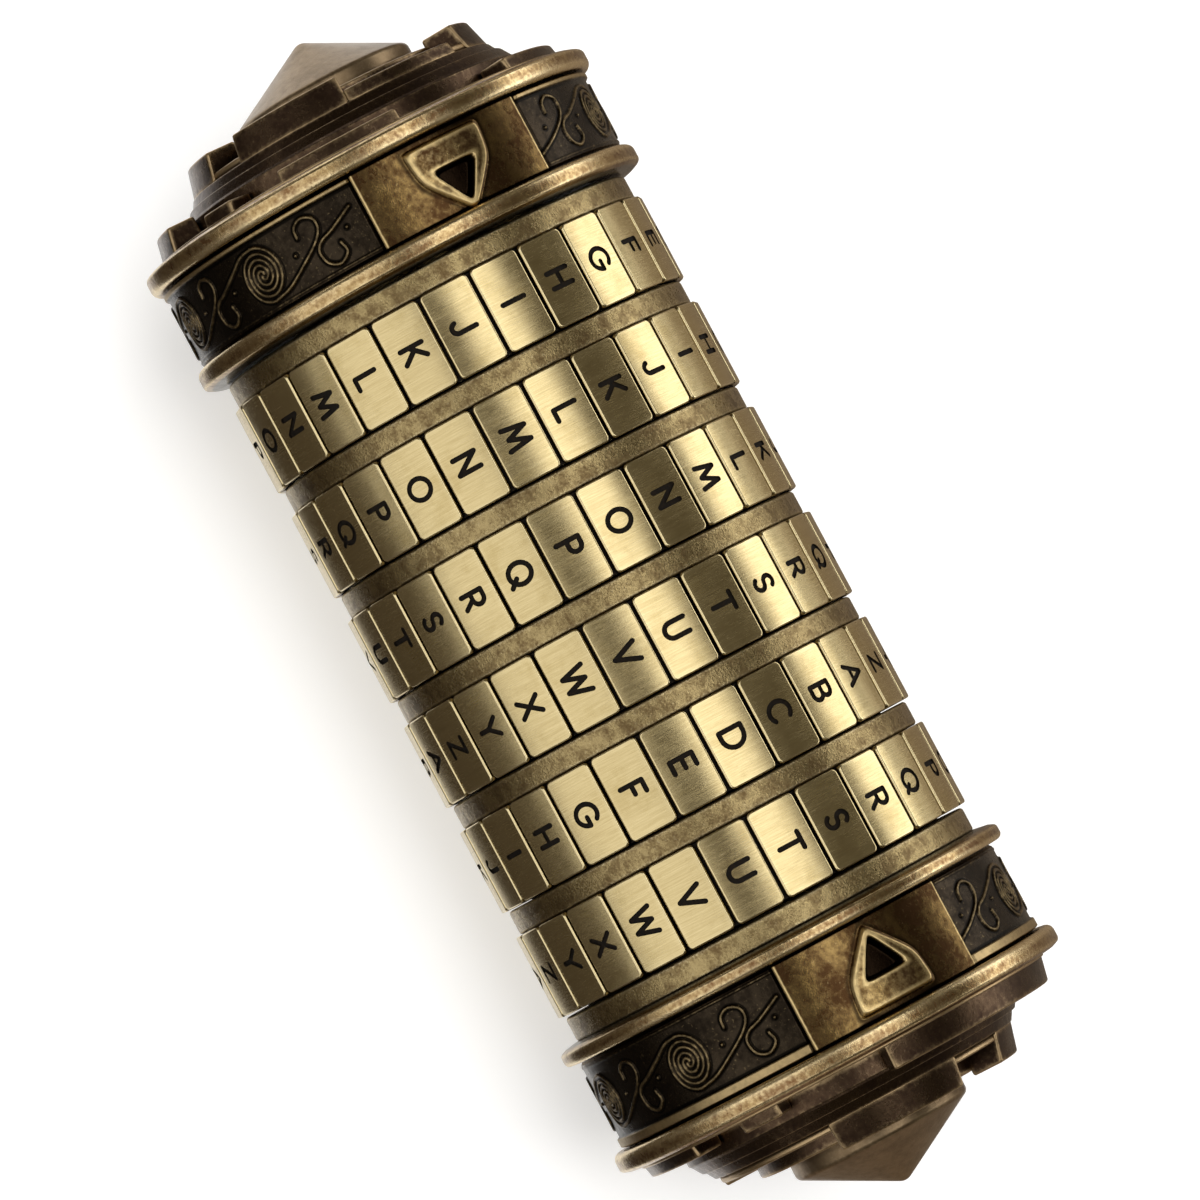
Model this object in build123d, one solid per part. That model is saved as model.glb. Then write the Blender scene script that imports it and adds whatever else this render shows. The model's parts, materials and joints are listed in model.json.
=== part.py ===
from build123d import *
import math
import os

# A cryptex: six lettered rings turn on a slotted guide tube. A vault tube with a key rail of
# six teeth slides out of it when the notch of every code ring faces the slot.
# Each piece is modelled standing on its axis, S along +Z, and then laid down, so that S
# runs along +X and the axis lies FLANGE_R above the surface. The vault cap is at -X, the
# case cap at +X, and the pointer line faces +Z. An angle is counted from the pointer line,
# positive towards +Y. OUT is a distance from the middle of the object, towards a cap's tip.

# Overall sizes, in millimetres
FLANGE_R = 27.1
TIP_OUT = 70.35

# Ring stack
RING_COUNT = 6
RING_PITCH = 13.0
RING_LENGTH = 12.6
STACK_START = -40.6
LETTER_COUNT = 26
SHOULDER_R = 24.5
SHOULDER_LENGTH = 2.6
SEAT_R = 23.2
BAND_SEAM = 0.2
BAND_APOTHEM = 25.0
BAND_GROOVE_WIDTH = 0.6
BAND_GROOVE_DEPTH = 0.9
BAND_EDGE_R = 0.3
HUB_R = 21.6
HUB_BORE_R = 19.0
HUB_END_GAP = 0.08
CODE_LENGTH = 4.0
SPLINE_ROOT_R = 19.8
SPLINE_TIP_R = 20.8
SPLINE_CLEARANCE = 0.06
NOTCH_R = 17.8
NOTCH_HALF_WIDTH = 3.2
# How far each ring rests from its letter's place under the pointer, in degrees
REST_TURNS = (-2.0, -3.3, -4.6, -4.9, -5.1, -5.2)

# Guide tube and the pieces on it
GUIDE_BORE_R = 13.8
GUIDE_R = 15.5
GUIDE_START = -45.0
GUIDE_END = 50.0
STOP_BORE_R = 12.3
STOP_START = 37.0
SLOT_WIDTH = 3.4
SLOT_END = 33.6
RUNNING_CLEARANCE = 0.06
NUT_START = -44.6
NUT_LENGTH = 3.5
NUT_R = 19.0
NUT_HOLE_R = 1.1
NUT_HOLE_PLACE_R = 17.3
SPACER_START = 37.4
SPACER_END = 40.2

# Vault tube and its key rail
VAULT_BORE_R = 11.5
VAULT_R = GUIDE_BORE_R - RUNNING_CLEARANCE
VAULT_START = -50.0
VAULT_FLOOR = -47.0
VAULT_MOUTH = 36.9
RAIL_START = -46.0
RAIL_END = 36.0
RAIL_WIDTH = 3.0
RAIL_FOOT_R = 12.4
RAIL_TOP_R = 13.5
RAIL_CLEARANCE = 0.02
TOOTH_TIP_R = 17.2
TOOTH_LENGTH = 3.0
TOOTH_PLACE = 7.1

# Caps
DRUM_R = 24.6
DRUM_WALL = 2.2
DRUM_HUB_R = 18.0
DRUM_END = 53.0
WEB_START = 50.0
CAVITY_R = 20.2
INNER_FLANGE_R = 26.95
INNER_FLANGE_OUT = {"vault": (41.0, 43.6), "case": (40.2, 42.3)}
FLANGE_END = 55.4
FLANGE_BORE_R = 12.0
BEAD_ROUND = 0.9
PLAQUE_COUNT = 2
PLAQUE_R = 26.1
PLAQUE_WIDTH_DEG = 47.0
PANEL_R = 25.4
PANEL_RAIL_R = 25.75
PANEL_RAIL_WIDTH = 0.9
PANEL_GAP_DEG = 0.25

# Raised pointer on each plaque
POINTER_R = 26.75
POINTER_HALF_WIDTH = 4.75
POINTER_WAIST_HALF_WIDTH = 4.3
POINTER_WAIST = 4.1
POINTER_LENGTH = 9.1
POINTER_END = 52.1
POINTER_FLOOR_R = 25.3
POINTER_HOLE_START = 3.2
POINTER_HOLE_LENGTH = 4.5
POINTER_HOLE_HALF_WIDTH = 2.6

# Stepped ends
LUG_BASE_END = 55.8
LUG_INNER_R = 20.4
LUG_BASE_R = 24.8
LUG_OUTER_R = 24.6
LUG_TOP_R = 23.9
LOW_LUG_END = 57.1
TALL_LUG_END = 58.5
BOSS_FOOT_R = 20.3
BOSS_STEP_R = 19.3
BOSS_TOP_R = 18.3
BOSS_SLOPE_START = 58.3
BOSS_STEP_OUT = 59.4
BOSS_END = 60.5
CROWN_INNER_R = 10.7
CROWN_RING_R = 13.8
CROWN_FOOT_R = 18.2
CROWN_TOP_R = 17.3
CROWN_BASE_END = 61.3
CROWN_RING_END = 62.9
LOW_CROWN_END = 61.9
TALL_CROWN_END = 63.7
# Each arc: from angle, to angle, end OUT
LUG_ARCS = {
    "vault": [
        (-125, -85.5, TALL_LUG_END), (-66.5, -55.5, LOW_LUG_END), (-39.7, -5, LOW_LUG_END),
        (31, 66, LOW_LUG_END), (92, 103, LOW_LUG_END), (124, 160, TALL_LUG_END), (178, 198, LOW_LUG_END),
    ],
    "case": [
        (-130, -68, LOW_LUG_END), (-51, -39, LOW_LUG_END), (-8, 88, TALL_LUG_END),
        (108, 128, LOW_LUG_END), (150, 202, TALL_LUG_END),
    ],
}
CROWN_ARCS = {
    "vault": [
        (-118, -75, TALL_CROWN_END), (-59, -13, TALL_CROWN_END), (-13, 35, LOW_CROWN_END),
        (43, 88, TALL_CROWN_END), (104, 150, LOW_CROWN_END), (166, 212, TALL_CROWN_END),
    ],
    "case": [
        (-165, -118, LOW_CROWN_END), (-34, 18, TALL_CROWN_END), (42, 88, TALL_CROWN_END),
        (112, 160, TALL_CROWN_END),
    ],
}

# Finials and the studs that clamp each end together
FINIAL_R = 10.5
FINIAL_STEM_R = 10.2
FINIAL_SHOULDER = 64.9
STUD_R = 2.5
STUD_END = 66.0
STUD_HEAD_R = 5.0
STUD_HEAD_LENGTH = 1.6


def region(*points):
    """A flat closed region, from points of radius and place along the axis."""
    return make_face(Polyline(*points, close=True))


def band(r_in, r_out, start, end):
    """A rectangular region between two radii and two places along the axis."""
    low, high = min(start, end), max(start, end)
    return region((r_in, low), (r_out, low), (r_out, high), (r_in, high))


def turned(section, angle_from=0.0, angle_to=360.0):
    """Turns a section about the axis, between two angles from the pointer line."""
    solid = revolve(Plane.XZ * section, Axis.Z, revolution_arc=angle_to - angle_from)
    return Rot(0, 0, 180 - angle_to) * solid


def tube(r_in, r_out, start, end):
    return turned(band(r_in, r_out, start, end))


def rounded_tube(r_in, r_out, start, end, rounding):
    """A tube whose outer edges are rounded."""
    section = band(r_in, r_out, start, end)
    return turned(fillet(section.vertices().group_by(Axis.X)[-1], rounding))


def rod(radius, start, end):
    return Pos(0, 0, start) * Cylinder(radius, end - start, align=(Align.CENTER, Align.CENTER, Align.MIN))


def at_angle(shape, angle):
    """Moves a shape that faces the pointer line to another angle."""
    return Rot(0, 0, -angle) * shape


def spline_outline(root, tip):
    """A disc's outline with one tooth for each letter."""
    step = 2 * math.pi / LETTER_COUNT
    points = []
    for tooth in range(LETTER_COUNT):
        for share, radius in ((0.0, root), (0.45, root), (0.55, tip), (0.9, tip)):
            turn = (tooth + share) * step
            points.append((radius * math.cos(turn), radius * math.sin(turn)))
    return make_face(Polyline(*points, close=True))


def letter_band():
    """A faceted band with a milled groove between each two letters."""
    corner_r = BAND_APOTHEM / math.cos(math.pi / LETTER_COUNT)
    start = SHOULDER_LENGTH + BAND_SEAM
    length = RING_LENGTH - start
    outline = RegularPolygon(corner_r, LETTER_COUNT, rotation=180 / LETTER_COUNT)
    solid = Pos(0, 0, start) * extrude(outline, length)
    solid = chamfer(solid.edges().group_by(Axis.Z)[0] + solid.edges().group_by(Axis.Z)[-1], BAND_EDGE_R)
    groove_r = corner_r - BAND_GROOVE_DEPTH / 2
    groove = Pos(groove_r, 0, 0) * Box(BAND_GROOVE_DEPTH + 0.2, BAND_GROOVE_WIDTH, 4 * RING_PITCH)
    grooves = [Rot(0, 0, (n + 0.5) * 360 / LETTER_COUNT) * groove for n in range(LETTER_COUNT)]
    return solid - grooves - rod(SEAT_R, 0, RING_PITCH)


def ring_carrier():
    """The sleeve that carries the band, with its shoulder, hub and splined socket."""
    solid = tube(HUB_BORE_R, SEAT_R, 0, RING_LENGTH)
    solid += rounded_tube(SEAT_R - 1, SHOULDER_R, 0, SHOULDER_LENGTH, 0.25)
    solid += tube(HUB_BORE_R, HUB_R, RING_LENGTH - 1, RING_PITCH - HUB_END_GAP)
    socket_outline = spline_outline(SPLINE_ROOT_R + SPLINE_CLEARANCE, SPLINE_TIP_R + SPLINE_CLEARANCE)
    return solid - extrude(socket_outline, CODE_LENGTH)


def code_ring():
    """The splined ring with the one notch that lets the key pins pass."""
    disc = extrude(spline_outline(SPLINE_ROOT_R, SPLINE_TIP_R), CODE_LENGTH)
    notch = Pos(-NOTCH_R / 2, 0, CODE_LENGTH / 2) * Box(NOTCH_R, 2 * NOTCH_HALF_WIDTH, 2 * CODE_LENGTH)
    return disc - rod(GUIDE_R + RUNNING_CLEARANCE, -1, CODE_LENGTH + 1) - notch


def letter_rings():
    """The pieces of every lettered ring, turned to where they rest."""
    shapes = {"ring_carrier": ring_carrier(), "code_ring": code_ring(), "letter_band": letter_band()}
    pieces = {}
    for number in range(RING_COUNT):
        place = Pos(0, 0, STACK_START + number * RING_PITCH)
        for name, shape in shapes.items():
            pieces[f"{name}_{number + 1}"] = place * at_angle(shape, REST_TURNS[number])
    return pieces


def key_way(reach, end):
    """The straight way that the key teeth travel along, cut as far as a radius."""
    length = end - VAULT_START
    return Pos(-reach / 2, 0, end - length / 2) * Box(reach, SLOT_WIDTH, length)


def guide_tube():
    return tube(GUIDE_BORE_R, GUIDE_R, GUIDE_START, GUIDE_END) - key_way(GUIDE_R + 1, SLOT_END)


def retaining_nut():
    end = NUT_START + NUT_LENGTH
    solid = tube(GUIDE_R, NUT_R, NUT_START, end)
    for angle in (90, -90):
        solid -= at_angle(Pos(-NUT_HOLE_PLACE_R, 0, 0) * rod(NUT_HOLE_R, NUT_START - 1, end + 1), angle)
    return solid - key_way(NOTCH_R, end + 1)


def pointer_side_box(r_from, r_to, width, start, end):
    """A box that stands at the pointer line, between two radii."""
    middle = (-(r_from + r_to) / 2, 0, (start + end) / 2)
    return Pos(*middle) * Box(r_to - r_from, width, end - start)


def vault_tube():
    room = RAIL_CLEARANCE
    width = RAIL_WIDTH + 2 * room
    groove = pointer_side_box(RAIL_FOOT_R - room, FLANGE_R, width, RAIL_START - room, RAIL_END + room)
    return tube(VAULT_BORE_R, VAULT_R, VAULT_FLOOR, VAULT_MOUTH) - groove


def vault_floor():
    """The disc that closes the vault tube, with a seat for its stud's head."""
    solid = tube(STUD_R, VAULT_R, VAULT_START, VAULT_FLOOR)
    return solid - rod(STUD_HEAD_R, VAULT_FLOOR - STUD_HEAD_LENGTH, VAULT_FLOOR)


def key_rail():
    """The bar let into the vault tube, with one tooth for each ring."""
    solid = pointer_side_box(RAIL_FOOT_R, RAIL_TOP_R, RAIL_WIDTH, RAIL_START, RAIL_END)
    for number in range(RING_COUNT):
        middle = STACK_START + number * RING_PITCH + TOOTH_PLACE
        start, end = middle - TOOTH_LENGTH / 2, middle + TOOTH_LENGTH / 2
        solid += pointer_side_box(RAIL_FOOT_R, TOOTH_TIP_R, RAIL_WIDTH, start, end)
    return solid


def pointer_plaque(side, start):
    """A curved plate with a raised pointer that aims at the rings."""
    half = PLAQUE_WIDTH_DEG / 2
    solid = turned(band(DRUM_R, PLAQUE_R, side * start, side * DRUM_END), -half, half)
    solid = chamfer(solid.edges().filter_by(Axis.Z).group_by(SortBy.DISTANCE)[-1], 0.2)
    waist = POINTER_END - POINTER_WAIST
    tip = POINTER_END - POINTER_LENGTH
    outline = [
        (POINTER_END, -POINTER_HALF_WIDTH), (POINTER_END, POINTER_HALF_WIDTH),
        (waist, POINTER_WAIST_HALF_WIDTH), (tip, 0), (waist, -POINTER_WAIST_HALF_WIDTH),
    ]
    hole_end = POINTER_END - POINTER_HOLE_START
    hole = [
        (hole_end, -POINTER_HOLE_HALF_WIDTH), (hole_end, POINTER_HOLE_HALF_WIDTH),
        (hole_end - POINTER_HOLE_LENGTH, 0),
    ]
    raised = turned(band(DRUM_R + 0.5, POINTER_R, side * start, side * DRUM_END), -half, half)
    solid += raised & radial_prism(outline, side, PLAQUE_R / 2, FLANGE_R)
    return solid - radial_prism(hole, side, POINTER_FLOOR_R, FLANGE_R)


def radial_prism(outline, side, r_from, r_to):
    """A prism that stands outwards at the pointer line, from points of OUT and width."""
    face = make_face(Polyline(*[(side * out, width) for out, width in outline], close=True))
    base = Plane(origin=(-r_from, 0, 0), x_dir=(0, 0, 1), z_dir=(-1, 0, 0))
    return extrude(base * face, r_to - r_from)


def scroll_panel(side, start):
    """A curved plate between two plaques, with a raised rail along its outer edge."""
    half = (360 / PLAQUE_COUNT - PLAQUE_WIDTH_DEG) / 2 - PANEL_GAP_DEG
    solid = turned(band(DRUM_R, PANEL_R, side * start, side * DRUM_END), -half, half)
    rail = band(DRUM_R, PANEL_RAIL_R, side * (DRUM_END - PANEL_RAIL_WIDTH), side * DRUM_END)
    return solid + turned(rail, -half, half)


def drum(side, start):
    """The cap's hollow wall, with the hub that holds the tube of its side."""
    solid = tube(DRUM_R - DRUM_WALL, DRUM_R, side * start, side * DRUM_END)
    solid += tube(STUD_R, DRUM_R, side * WEB_START, side * DRUM_END)
    if side > 0:
        return solid + tube(GUIDE_R, DRUM_HUB_R, start, WEB_START)
    return solid + tube(VAULT_R, DRUM_HUB_R, VAULT_FLOOR, -WEB_START)


def sloped_arc(r_in, r_foot, r_top, start, end, side, angle_from, angle_to):
    """A block on an arc, whose outer wall leans inwards."""
    section = region((r_in, side * start), (r_foot, side * start), (r_top, side * end), (r_in, side * end))
    return turned(section, angle_from, angle_to)


def lug_ring(name, side):
    solid = tube(LUG_INNER_R, LUG_BASE_R, side * FLANGE_END, side * LUG_BASE_END)
    for angle_from, angle_to, end in LUG_ARCS[name]:
        inner = LUG_INNER_R + 0.1
        solid += sloped_arc(inner, LUG_OUTER_R, LUG_TOP_R, FLANGE_END, end, side, angle_from, angle_to)
    return solid


def stepped_boss(side):
    """The boss between the flange and the crown, with its spigot through the flange."""
    points = [
        (STUD_R, DRUM_END), (FLANGE_BORE_R, DRUM_END), (FLANGE_BORE_R, FLANGE_END),
        (BOSS_FOOT_R, FLANGE_END), (BOSS_FOOT_R, BOSS_SLOPE_START), (BOSS_STEP_R, BOSS_STEP_OUT),
        (BOSS_STEP_R - 0.3, BOSS_STEP_OUT), (BOSS_TOP_R, BOSS_END), (STUD_R, BOSS_END),
    ]
    return turned(region(*[(radius, side * out) for radius, out in points]))


def crown_ring(name, side):
    solid = tube(CROWN_INNER_R, CROWN_FOOT_R - 0.4, side * BOSS_END, side * CROWN_BASE_END)
    solid += tube(CROWN_INNER_R, CROWN_RING_R, side * BOSS_END, side * CROWN_RING_END)
    for angle_from, angle_to, end in CROWN_ARCS[name]:
        inner = CROWN_RING_R - 0.5
        solid += sloped_arc(inner, CROWN_FOOT_R, CROWN_TOP_R, BOSS_END, end, side, angle_from, angle_to)
    return solid


def finial(side):
    """The pointed end, with a rounded shoulder, screwed on its stud."""
    section = region(
        (0, side * BOSS_END), (FINIAL_STEM_R, side * BOSS_END),
        (FINIAL_R, side * (FINIAL_SHOULDER - 1.2)), (FINIAL_R, side * FINIAL_SHOULDER), (0, side * TIP_OUT),
    )
    shoulder = section.vertices().sort_by_distance((FINIAL_R, side * FINIAL_SHOULDER))[0]
    solid = turned(fillet(shoulder, 0.8))
    low, high = min(side * BOSS_END, side * STUD_END), max(side * BOSS_END, side * STUD_END)
    return solid - rod(STUD_R, low, high)


def stud(side, head_start):
    """The stud that clamps one end, with its flat head at the inner end."""
    body = sorted((side * head_start, side * STUD_END))
    head = sorted((side * head_start, side * (head_start + STUD_HEAD_LENGTH)))
    return rod(STUD_R, *body) + rod(STUD_HEAD_R, *head)


def cap(name, side):
    """Every piece that the two caps share in kind."""
    flange_in, flange_out = INNER_FLANGE_OUT[name]
    flange_bore = CAVITY_R if side < 0 else GUIDE_R
    stud_start = -VAULT_FLOOR if side < 0 else WEB_START - STUD_HEAD_LENGTH
    inner_ends = (side * flange_in, side * flange_out)
    outer_ends = (side * DRUM_END, side * FLANGE_END)
    pieces = {
        "inner_flange": rounded_tube(flange_bore, INNER_FLANGE_R, *inner_ends, BEAD_ROUND),
        "drum": drum(side, flange_out),
        "outer_flange": rounded_tube(FLANGE_BORE_R, FLANGE_R, *outer_ends, BEAD_ROUND),
        "lug_ring": lug_ring(name, side),
        "stepped_boss": stepped_boss(side),
        "crown_ring": crown_ring(name, side),
        "finial": finial(side),
        "stud": stud(side, stud_start),
    }
    plaque = pointer_plaque(side, flange_out)
    panel = scroll_panel(side, flange_out)
    step = 360 / PLAQUE_COUNT
    for number in range(PLAQUE_COUNT):
        pieces[f"pointer_plaque_{number + 1}"] = at_angle(plaque, number * step)
        pieces[f"scroll_panel_{number + 1}"] = at_angle(panel, (number + 0.5) * step)
    return {f"{name}_{piece}": shape for piece, shape in pieces.items()}


def all_pieces():
    pieces = {
        "guide_tube": guide_tube(),
        "retaining_nut": retaining_nut(),
        "end_spacer_ring": rounded_tube(GUIDE_R, SHOULDER_R, SPACER_START, SPACER_END, 0.25),
        "tube_stop": tube(STOP_BORE_R, GUIDE_BORE_R, STOP_START, GUIDE_END),
        "vault_tube": vault_tube(),
        "vault_floor": vault_floor(),
        "key_rail": key_rail(),
    }
    pieces.update(cap("vault", -1))
    pieces.update(cap("case", 1))
    pieces.update(letter_rings())
    return pieces


os.makedirs("parts", exist_ok=True)
lay_down = Pos(0, 0, FLANGE_R) * Rot(0, 90, 0)
for node, shape in all_pieces().items():
    export_step(lay_down * shape, f"parts/{node}.step")
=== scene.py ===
import json
import math
import bpy
import numpy as np
from mathutils import Matrix, Vector
from mathutils.geometry import delaunay_2d_cdt


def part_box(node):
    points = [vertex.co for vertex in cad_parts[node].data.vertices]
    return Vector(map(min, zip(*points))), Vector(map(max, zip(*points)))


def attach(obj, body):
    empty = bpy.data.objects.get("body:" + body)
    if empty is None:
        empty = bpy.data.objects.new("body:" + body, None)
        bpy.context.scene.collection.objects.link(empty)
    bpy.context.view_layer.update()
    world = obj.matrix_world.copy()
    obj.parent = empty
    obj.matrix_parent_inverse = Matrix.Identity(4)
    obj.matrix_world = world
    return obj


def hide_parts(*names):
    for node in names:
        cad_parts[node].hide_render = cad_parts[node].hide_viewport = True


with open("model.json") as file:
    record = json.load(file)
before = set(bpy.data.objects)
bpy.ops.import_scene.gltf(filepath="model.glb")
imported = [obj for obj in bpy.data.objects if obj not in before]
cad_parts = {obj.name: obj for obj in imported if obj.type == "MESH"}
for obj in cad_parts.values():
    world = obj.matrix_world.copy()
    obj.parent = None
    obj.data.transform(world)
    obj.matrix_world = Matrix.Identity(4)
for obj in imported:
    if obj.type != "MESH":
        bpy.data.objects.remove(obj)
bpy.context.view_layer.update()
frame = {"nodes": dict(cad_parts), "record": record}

# A cryptex, lying on its side: its axis runs along X, and its pointer line faces +Z.
# Lengths in this script are millimetres, and MM turns them into the scene's metres.
# An angle is counted in degrees from the pointer line, positive towards +Y.
MM = 0.001
RINGS = range(1, 7)
# The side of the middle that each cap is on, and the body that carries it
CAPS = {"vault": -1, "case": 1}
CAP_BODY = {"vault": "vault", "case": "outer_case"}


# -------- sizes from the frame

def span(node):
    """Where a node starts and ends along X, and its outer radius."""
    low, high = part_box(node)
    return low.x / MM, high.x / MM, (high.y - low.y) / 2 / MM


AXIS_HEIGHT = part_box("case_outer_flange")[1].z / MM / 2
PANEL_R = {"vault": 25.8, "case": 25.4}
PLAQUE_R = 26.1
PLAQUE_DEG = 47.0


# -------- mesh building

def on_cylinder(x, r, turn):
    """Points from a place along the axis, a radius and an angle in radians."""
    x, r, turn = np.broadcast_arrays(x, r, turn)
    return np.stack([x, r * np.sin(turn), AXIS_HEIGHT + r * np.cos(turn)], -1) * MM


def unit(vectors):
    size = np.linalg.norm(vectors, axis=-1, keepdims=True)
    return vectors / np.maximum(size, 1e-12)


def set_normals(mesh, normals, sharp_faces):
    """Gives smooth faces the normals of their points, and sharp faces their own."""
    corner_point = np.zeros(len(mesh.loops), int)
    mesh.loops.foreach_get("vertex_index", corner_point)
    corner_normals = normals[corner_point]
    if sharp_faces is not None:
        corner_edge = np.zeros(len(mesh.loops), int)
        mesh.loops.foreach_get("edge_index", corner_edge)
        sharp_edges = np.zeros(len(mesh.edges), bool)
        for index in np.nonzero(sharp_faces)[0]:
            polygon = mesh.polygons[index]
            corners = slice(polygon.loop_start, polygon.loop_start + polygon.loop_total)
            corner_normals[corners] = polygon.normal
            sharp_edges[corner_edge[corners]] = True
        mesh.edges.foreach_set("use_edge_sharp", sharp_edges)
    mesh.normals_split_custom_set(corner_normals.tolist())


def grid_faces(rows, columns, close_rows, close_columns):
    """The quads of a grid of points, numbered row by row."""
    row = np.arange(rows if close_rows else rows - 1)
    column = np.arange(columns if close_columns else columns - 1)
    row, column = np.meshgrid(row, column, indexing="ij")
    next_row, next_column = (row + 1) % rows, (column + 1) % columns
    corners = [row * columns + column, row * columns + next_column,
               next_row * columns + next_column, next_row * columns + column]
    return np.stack(corners, -1).reshape(-1, 4).tolist()


def grid_normals(points, close_rows, close_columns):
    """Normals from each point's neighbours on the grid, and how convex the surface is there."""
    def steps(axis, closed):
        after, before = np.roll(points, -1, axis), np.roll(points, 1, axis)
        if not closed:
            last, first = [slice(None)] * 3, [slice(None)] * 3
            last[axis], first[axis] = -1, 0
            after[tuple(last)] = points[tuple(last)]
            before[tuple(first)] = points[tuple(first)]
        return after - points, before - points
    row_after, row_before = steps(0, close_rows)
    column_after, column_before = steps(1, close_columns)
    normals = unit(np.cross(column_after - column_before, row_after - row_before))
    convex = np.zeros(points.shape[:2])
    for step in (row_after, row_before, column_after, column_before):
        convex -= (unit(step) * normals).sum(-1) / 2
    return normals, convex


def spread(values, close_rows, close_columns, times=2, gain=2.5):
    """Softens the positive values of a grid, and brings them up to one at most."""
    values = np.maximum(values, 0)
    for _ in range(times):
        for axis, closed in ((0, close_rows), (1, close_columns)):
            mode = "wrap" if closed else "edge"
            pad = [(1, 1) if a == axis else (0, 0) for a in (0, 1)]
            padded = np.pad(values, pad, mode=mode)
            count = values.shape[axis]
            values = (np.take(padded, range(count), axis) + 2 * values
                      + np.take(padded, range(2, count + 2), axis)) / 4
    return np.clip(values * gain, 0, 1)


class Build:
    """Gathers points and faces into the mesh of one piece."""

    def __init__(self):
        self.rows, self.faces = [], []
        self.count = 0

    def gather(self, points, normals, wear, dirt_and_shade, faces):
        """Points with their normals, wear and darkening (grime, and painted shade in places), and faces
        that count these points from zero.
        """
        self.rows.append(np.hstack([points.reshape(-1, 3), normals.reshape(-1, 3),
                                    wear.reshape(-1, 1), dirt_and_shade.reshape(-1, 1)]))
        self.faces += [[self.count + i for i in face] for face in faces]
        self.count += len(self.rows[-1])

    def add(self, points, close_rows=True, close_columns=True, wear=None, dirt_and_shade=None):
        """One grid. If its rows are open, a face closes each end."""
        normals, convex = grid_normals(points, close_rows, close_columns)
        if wear is None:
            wear = spread(convex, close_rows, close_columns)
        if dirt_and_shade is None:
            dirt_and_shade = spread(-convex, close_rows, close_columns)
        rows, columns = points.shape[:2]
        faces = grid_faces(rows, columns, close_rows, close_columns)
        if close_columns and not close_rows:
            faces.append(list(range(columns))[::-1])
            faces.append(list(range((rows - 1) * columns, rows * columns)))
        self.gather(points, normals, wear, dirt_and_shade, faces)
        return self

    def piece(self, name, body, materials, replaces, slot="antique_brass", face_slots=None,
              sharp_faces=None):
        """The mesh object, riding on a body."""
        points, normals, wear, dirt_and_shade = np.split(np.vstack(self.rows), (3, 6, 7), axis=1)
        mesh = bpy.data.meshes.new(name)
        mesh.from_pydata([tuple(p) for p in points], [], self.faces)
        for material in materials:
            mesh.materials.append(material)
        mesh.shade_smooth()
        if face_slots is not None:
            mesh.polygons.foreach_set("material_index", face_slots)
        for label, values in (("wear", wear), ("dirt_and_shade", dirt_and_shade)):
            attribute = mesh.attributes.new(label, "FLOAT", "POINT")
            attribute.data.foreach_set("value", values.astype(np.float32).ravel())
        set_normals(mesh, normals, sharp_faces)
        piece = bpy.data.objects.new(name, mesh)
        bpy.context.scene.collection.objects.link(piece)
        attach(piece, body)
        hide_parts(replaces)


def rounded_outline(corners, arc_steps=5, shoulder=0.35, closed=True):
    """An outline in (x, r), from corners of (x, r, rounding), with points beside each arc."""
    outline = []
    count = len(corners)
    for index in range(count):
        here = np.array(corners[index][:2], float)
        rounding = corners[index][2] if closed or 0 < index < count - 1 else 0
        before = np.array(corners[index - 1][:2], float) - here
        after = np.array(corners[(index + 1) % count][:2], float) - here
        room_before, room_after = np.linalg.norm(before), np.linalg.norm(after)
        before, after = before / room_before, after / room_after
        if rounding <= 0:
            outline.append(here)
            continue
        half = math.acos(np.clip(before @ after, -1, 1)) / 2
        reach = min(rounding / math.tan(half), room_before * 0.48, room_after * 0.48)
        radius = reach * math.tan(half)
        centre = here + unit(before + after) * radius / math.sin(half)
        if room_before > 2 * reach + 2 * shoulder:
            outline.append(here + before * (reach + shoulder))
        start, end = here + before * reach - centre, here + after * reach - centre
        angle = math.atan2(start[0] * end[1] - start[1] * end[0], start @ end)
        for step in range(arc_steps + 1):
            turn = angle * step / arc_steps
            cosine, sine = math.cos(turn), math.sin(turn)
            outline.append(centre + [cosine * start[0] - sine * start[1],
                                     sine * start[0] + cosine * start[1]])
        if room_after > 2 * reach + 2 * shoulder:
            outline.append(here + after * (reach + shoulder))
    return divided(np.array(outline), closed)


def divided(outline, closed, longest=0.7, most=6):
    """Adds points along the long straight runs of an outline."""
    points = []
    after = np.roll(outline, -1, 0)
    for index, (a, b) in enumerate(zip(outline, after)):
        last = not closed and index == len(outline) - 1
        pieces = 1 if last else min(most, math.ceil(np.linalg.norm(b - a) / longest))
        points += [a + (b - a) * step / pieces for step in range(max(pieces, 1))]
    return np.array(points)


def signed_area(outline):
    x, r = outline[:, 0], outline[:, 1]
    return np.sum(x * np.roll(r, -1) - np.roll(x, -1) * r) / 2


def lathed(corners, turns=240, closed=True):
    """The grid of an outline turned about the axis. An open outline runs from the axis to the axis."""
    outline = rounded_outline(corners, closed=closed)
    if signed_area(outline) < 0:
        outline = outline[::-1]
    turn = np.arange(turns) * 2 * math.pi / turns
    return on_cylinder(outline[:, :1], outline[:, 1:], turn[None, :])


def lathe(name, corners, body, material, closed=True, **more):
    """A piece turned about the axis."""
    made = Build().add(lathed(corners, closed=closed), close_rows=closed)
    made.piece(name, body, [material], **more)


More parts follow.
